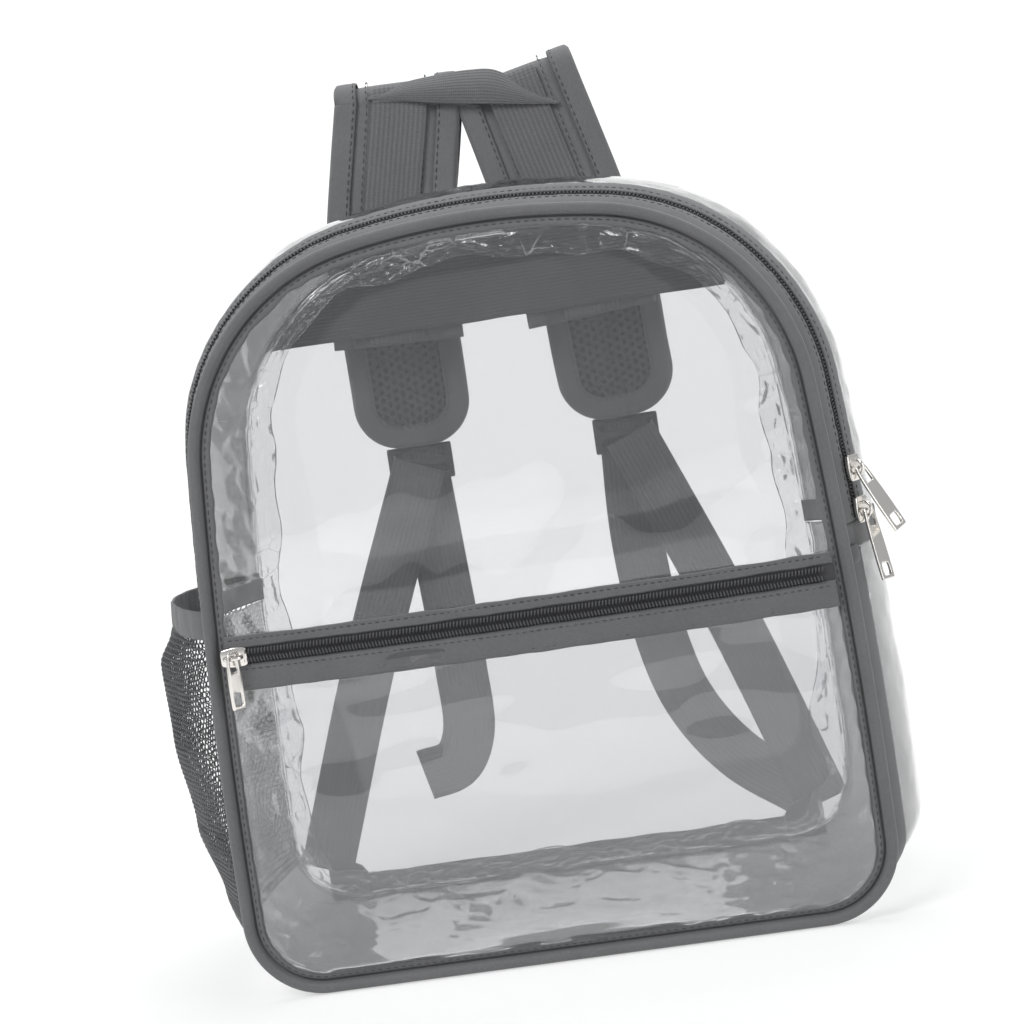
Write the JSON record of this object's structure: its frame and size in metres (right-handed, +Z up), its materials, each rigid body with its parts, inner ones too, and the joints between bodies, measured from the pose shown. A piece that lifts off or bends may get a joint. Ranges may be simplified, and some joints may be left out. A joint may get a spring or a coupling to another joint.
{
  "type": "clear backpack",
  "caption": "Clear film backpack with grey binding, zipped front pocket, arched top zip, side net pocket, padded shoulder straps and a haul loop.",
  "frame": {"origin": "middle of the bounding box on the ground plane", "axes": "+X the viewer's right, -Y the front, +Z up"},
  "size_m": [0.3188, 0.1786, 0.3782],
  "materials": {
    "film": "clear flexible film, glossy",
    "tape": "folded grey polyester tape",
    "webbing": "ribbed woven grey webbing",
    "pad": "grey woven cover and air mesh over foam",
    "net": "open knitted net of dark grey thread",
    "coil": "dark nylon zip coil",
    "plastic": "dark moulded plastic",
    "metal": "warm silver plating"
  },
  "bodies": {
    "bag": {"front_panel": "film", "pocket_panel": "film", "upper_gusset": "film", "lower_gusset": "film", "back_panel": "film", "front_binding": "tape", "pocket_trim_lower": "tape", "pocket_trim_upper": "tape", "pocket_zip_coil": "coil", "pocket_slider": "metal", "zip_tape_front": "tape", "zip_tape_back": "tape", "zip_coil": "coil", "main_slider_upper": "metal", "main_slider_lower": "metal", "gusset_front_strip": "tape", "side_tape_left": "tape", "side_tape_right": "tape", "back_bottom_tape": "tape", "back_band": "webbing", "mesh_pocket": "net", "mesh_pocket_band": "tape", "strap_pad_left": "pad", "strap_pad_right": "pad", "strap_mesh_left": "pad", "strap_mesh_right": "pad", "strap_binding_left": "tape", "strap_binding_right": "tape", "strap_webbing_left": "webbing", "strap_webbing_right": "webbing", "haul_loop": "webbing", "adjuster_left": "plastic", "adjuster_right": "plastic", "lower_webbing_left": "webbing", "lower_webbing_right": "webbing", "webbing_tail_left": "webbing", "webbing_tail_right": "webbing", "anchor_tab_left": "tape", "anchor_tab_right": "tape"},
    "pull_main_upper": {"main_pull_upper": "metal"},
    "pull_main_lower": {"main_pull_lower": "metal"},
    "pull_pocket": {"pocket_pull": "metal"}
  },
  "joints": [
    {"name": "pull_main_upper_swing", "type": "hinge", "parent": "bag", "child": "pull_main_upper", "pos_m": [0.14399, -0.06439, 0.18141], "axis": [-0.6755, -0.6714, -0.305], "range_deg": [0, 120]},
    {"name": "pull_main_lower_swing", "type": "hinge", "parent": "bag", "child": "pull_main_lower", "pos_m": [0.14508, -0.06439, 0.16436], "axis": [-0.7092, -0.7047, 0.0185], "range_deg": [0, 20]},
    {"name": "pull_pocket_swing", "type": "hinge", "parent": "bag", "child": "pull_pocket", "pos_m": [-0.11482, -0.08424, 0.143], "axis": [-1, 0, 0], "range_deg": [0, 120]}
  ]
}
